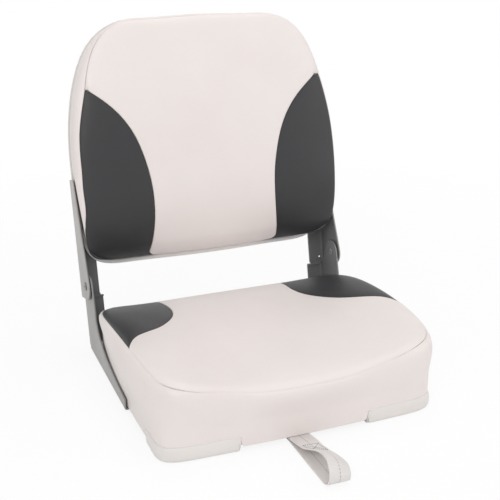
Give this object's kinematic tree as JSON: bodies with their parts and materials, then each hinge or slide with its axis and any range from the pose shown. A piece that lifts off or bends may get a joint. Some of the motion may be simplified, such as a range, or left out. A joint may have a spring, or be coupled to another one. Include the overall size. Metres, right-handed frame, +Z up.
{
  "type": "folding boat seat",
  "caption": "Low-back folding boat seat: padded vinyl back and seat with dark side panels, hinged on side brackets, with a webbing loop under the front edge.",
  "frame": {"origin": "middle of the flat mounting pad on the underside of the seat pan, level with the soles of the feet", "axes": "+Z up, -Y out of the front edge of the seat, +X to the right of someone who looks at the seat from its front"},
  "size_m": [0.4124, 0.5697, 0.488],
  "materials": {
    "white_vinyl": "satin",
    "charcoal_vinyl": "satin",
    "foam": "matte",
    "white_plastic": "satin",
    "painted_sheet": "satin",
    "zinc": "satin",
    "brass": "satin",
    "nylon": "satin",
    "webbing": "matte"
  },
  "bodies": {
    "seat": {"seat_pan": "white_plastic", "seat_foam": "foam", "seat_cover_side": "white_vinyl", "seat_cover_top": "white_vinyl", "seat_accent_left": "charcoal_vinyl", "seat_accent_right": "charcoal_vinyl", "seat_bracket_left": "painted_sheet", "seat_bracket_right": "painted_sheet", "pan_screw_left_1": "zinc", "pan_screw_left_2": "zinc", "pan_screw_left_3": "zinc", "pan_screw_right_1": "zinc", "pan_screw_right_2": "zinc", "pan_screw_right_3": "zinc", "mount_insert_front_left": "brass", "mount_insert_front_right": "brass", "mount_insert_rear_left": "brass", "mount_insert_rear_right": "brass", "hold_down_strap": "webbing", "strap_screw": "zinc", "strap_washer": "zinc", "pivot_rivet_left": "zinc", "pivot_rivet_right": "zinc", "pivot_washer_left": "nylon", "pivot_washer_right": "nylon"},
    "back": {"back_shell": "white_plastic", "back_foam": "foam", "back_cover_side": "white_vinyl", "back_cover_front": "white_vinyl", "back_accent_left": "charcoal_vinyl", "back_accent_right": "charcoal_vinyl", "back_bracket_left": "painted_sheet", "back_bracket_right": "painted_sheet", "shell_screw_left_1": "zinc", "shell_screw_left_2": "zinc", "shell_screw_left_3": "zinc", "shell_screw_right_1": "zinc", "shell_screw_right_2": "zinc", "shell_screw_right_3": "zinc"}
  },
  "joints": [
    {"name": "back_fold", "type": "hinge", "parent": "seat", "child": "back", "pos_m": [0, 0.16, 0.112], "axis": [1, 0, 0], "range_deg": [0, 91]}
  ]
}
